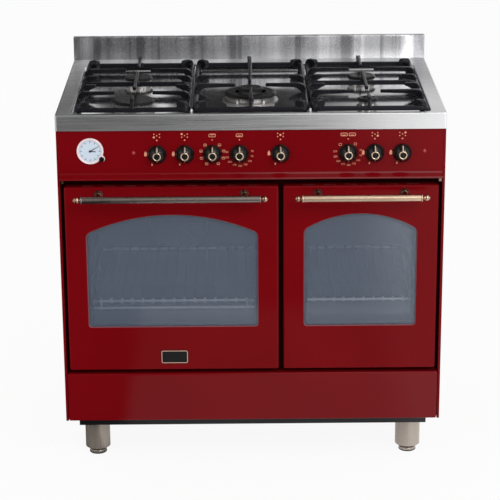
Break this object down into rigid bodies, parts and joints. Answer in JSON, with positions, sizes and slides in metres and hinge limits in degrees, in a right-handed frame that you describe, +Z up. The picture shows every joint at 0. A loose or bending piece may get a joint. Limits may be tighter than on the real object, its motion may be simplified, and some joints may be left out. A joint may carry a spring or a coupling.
{
  "type": "freestanding gas range",
  "caption": "Freestanding 900 mm gas range: brushed steel hob with cast-iron grates, red enamel body, drop-down arched-window oven doors, storage drawer, clock and turning knobs.",
  "frame": {"origin": "on the floor, under the middle of the overall box, handles included", "axes": "+X to the right seen from the front, +Y towards the wall behind, +Z up"},
  "size_m": [0.9, 0.655, 0.929],
  "materials": {
    "red_enamel": "deep red vitreous enamel, gloss",
    "black_enamel": "black vitreous enamel",
    "brushed_steel": "brushed along its length",
    "galvanised": "zinc-coated sheet",
    "bronze": "antique bronze plating, satin",
    "cast_iron": "black matt enamelled cast iron",
    "cap_enamel": "black matt enamel on steel",
    "burner_alloy": "die-cast, satin",
    "knob_black": "gloss black with brass pointer",
    "clock_black": "black",
    "dial_white": "white dial in a pale metal bezel",
    "lamp_red": "dark red lens",
    "door_glass": "dark tinted toughened glass",
    "chrome_wire": "chromed wire",
    "foot_black": "black",
    "tap_brass": "plain brass"
  },
  "bodies": {
    "cabinet": {"side_panel_left": "red_enamel", "side_panel_right": "red_enamel", "rear_panel": "galvanised", "base_tray": "black_enamel", "front_frame": "black_enamel", "control_panel": "red_enamel", "hob_top": "brushed_steel", "backguard": "brushed_steel", "foot_sleeve_front_left": "brushed_steel", "foot_sleeve_front_right": "brushed_steel", "foot_sleeve_rear_left": "brushed_steel", "foot_sleeve_rear_right": "brushed_steel", "oven_liner_left": "black_enamel", "oven_liner_right": "black_enamel", "oven_rack_left": "chrome_wire", "oven_rack_right": "chrome_wire", "burner_rapid_front_left": "burner_alloy", "burner_semi_rear_left": "burner_alloy", "burner_aux_front_right": "burner_alloy", "burner_semi_rear_right": "burner_alloy", "cap_rapid_front_left": "cap_enamel", "cap_semi_rear_left": "cap_enamel", "cap_aux_front_right": "cap_enamel", "cap_semi_rear_right": "cap_enamel", "burner_wok_centre": "burner_alloy", "cap_wok_ring": "cap_enamel", "cap_wok_centre": "cap_enamel", "grate_left": "cast_iron", "grate_middle": "cast_iron", "grate_right": "cast_iron", "gas_rail": "tap_brass", "oven_controls": "galvanised", "clock_case": "dial_white", "lamp_left": "lamp_red", "lamp_right": "lamp_red"},
    "left_door": {"door_panel_left": "red_enamel", "door_glass_left": "door_glass", "door_pan_left": "black_enamel", "door_handle_left": "bronze"},
    "right_door": {"door_panel_right": "red_enamel", "door_glass_right": "door_glass", "door_pan_right": "black_enamel", "door_handle_right": "bronze"},
    "drawer": {"drawer_front": "red_enamel", "drawer_box": "galvanised"},
    "front_left_knob": {"knob_front_left": "knob_black"},
    "rear_left_knob": {"knob_rear_left": "knob_black"},
    "centre_knob": {"knob_centre": "knob_black"},
    "front_right_knob": {"knob_front_right": "knob_black"},
    "rear_right_knob": {"knob_rear_right": "knob_black"},
    "oven_selector_knob": {"knob_oven_selector": "knob_black"},
    "oven_left_knob": {"knob_oven_left": "knob_black"},
    "oven_right_knob": {"knob_oven_right": "knob_black"},
    "clock_set": {"clock_set_knob": "knob_black"},
    "clock_minute": {"clock_minute_hand": "clock_black"},
    "clock_hour": {"clock_hour_hand": "clock_black"},
    "front_left_foot": {"foot_pad_front_left": "foot_black"},
    "front_right_foot": {"foot_pad_front_right": "foot_black"},
    "rear_left_foot": {"foot_pad_rear_left": "foot_black"},
    "rear_right_foot": {"foot_pad_rear_right": "foot_black"}
  },
  "joints": [
    {"name": "left_door_hinge", "type": "hinge", "parent": "cabinet", "child": "left_door", "pos_m": [0, -0.2585, 0.258], "axis": [1, 0, 0], "range_deg": [0, 90], "stiffness_Nm_per_rad": 4, "springref_deg": -28.65},
    {"name": "right_door_hinge", "type": "hinge", "parent": "cabinet", "child": "right_door", "pos_m": [0, -0.2585, 0.258], "axis": [1, 0, 0], "range_deg": [0, 90], "stiffness_Nm_per_rad": 3, "springref_deg": -28.65},
    {"name": "drawer_slide", "type": "slide", "parent": "cabinet", "child": "drawer", "axis": [0, -1, 0], "range_m": [0, 0.33]},
    {"name": "front_left_knob_turn", "type": "hinge", "parent": "cabinet", "child": "front_left_knob", "pos_m": [-0.217, -0.2695, 0.775], "axis": [0, -1, 0], "range_deg": [0, 210]},
    {"name": "rear_left_knob_turn", "type": "hinge", "parent": "cabinet", "child": "rear_left_knob", "pos_m": [-0.153, -0.2695, 0.775], "axis": [0, -1, 0], "range_deg": [0, 210]},
    {"name": "centre_knob_turn", "type": "hinge", "parent": "cabinet", "child": "centre_knob", "pos_m": [0.0675, -0.2695, 0.775], "axis": [0, -1, 0], "range_deg": [0, 210]},
    {"name": "front_right_knob_turn", "type": "hinge", "parent": "cabinet", "child": "front_right_knob", "pos_m": [0.285, -0.2695, 0.775], "axis": [0, -1, 0], "range_deg": [0, 210]},
    {"name": "rear_right_knob_turn", "type": "hinge", "parent": "cabinet", "child": "rear_right_knob", "pos_m": [0.3485, -0.2695, 0.775], "axis": [0, -1, 0], "range_deg": [0, 210]},
    {"name": "oven_selector_knob_turn", "type": "hinge", "parent": "cabinet", "child": "oven_selector_knob", "pos_m": [-0.0895, -0.2695, 0.775], "axis": [0, -1, 0], "continuous": true},
    {"name": "oven_left_knob_turn", "type": "hinge", "parent": "cabinet", "child": "oven_left_knob", "pos_m": [-0.027, -0.2695, 0.775], "axis": [0, -1, 0], "range_deg": [-270, 0]},
    {"name": "oven_right_knob_turn", "type": "hinge", "parent": "cabinet", "child": "oven_right_knob", "pos_m": [0.2235, -0.2695, 0.775], "axis": [0, -1, 0], "range_deg": [-270, 0]},
    {"name": "clock_set_turn", "type": "hinge", "parent": "cabinet", "child": "clock_set", "pos_m": [-0.3445, -0.2688, 0.766], "axis": [0, -1, 0], "continuous": true},
    {"name": "clock_minute_turn", "type": "hinge", "parent": "cabinet", "child": "clock_minute", "pos_m": [-0.371, -0.2688, 0.784], "axis": [0, -1, 0], "continuous": true},
    {"name": "clock_hour_turn", "type": "hinge", "parent": "cabinet", "child": "clock_hour", "pos_m": [-0.371, -0.2688, 0.784], "axis": [0, -1, 0], "continuous": true},
    {"name": "front_left_foot_height", "type": "slide", "parent": "cabinet", "child": "front_left_foot", "axis": [0, 0, 1], "range_m": [-0.03, 0]},
    {"name": "front_right_foot_height", "type": "slide", "parent": "cabinet", "child": "front_right_foot", "axis": [0, 0, 1], "range_m": [-0.03, 0]},
    {"name": "rear_left_foot_height", "type": "slide", "parent": "cabinet", "child": "rear_left_foot", "axis": [0, 0, 1], "range_m": [-0.03, 0]},
    {"name": "rear_right_foot_height", "type": "slide", "parent": "cabinet", "child": "rear_right_foot", "axis": [0, 0, 1], "range_m": [-0.03, 0]}
  ],
  "couplings": [
    {"joint": "clock_minute_turn", "follows": "clock_set_turn", "ratio": 1},
    {"joint": "clock_hour_turn", "follows": "clock_set_turn", "ratio": 0.083333}
  ]
}
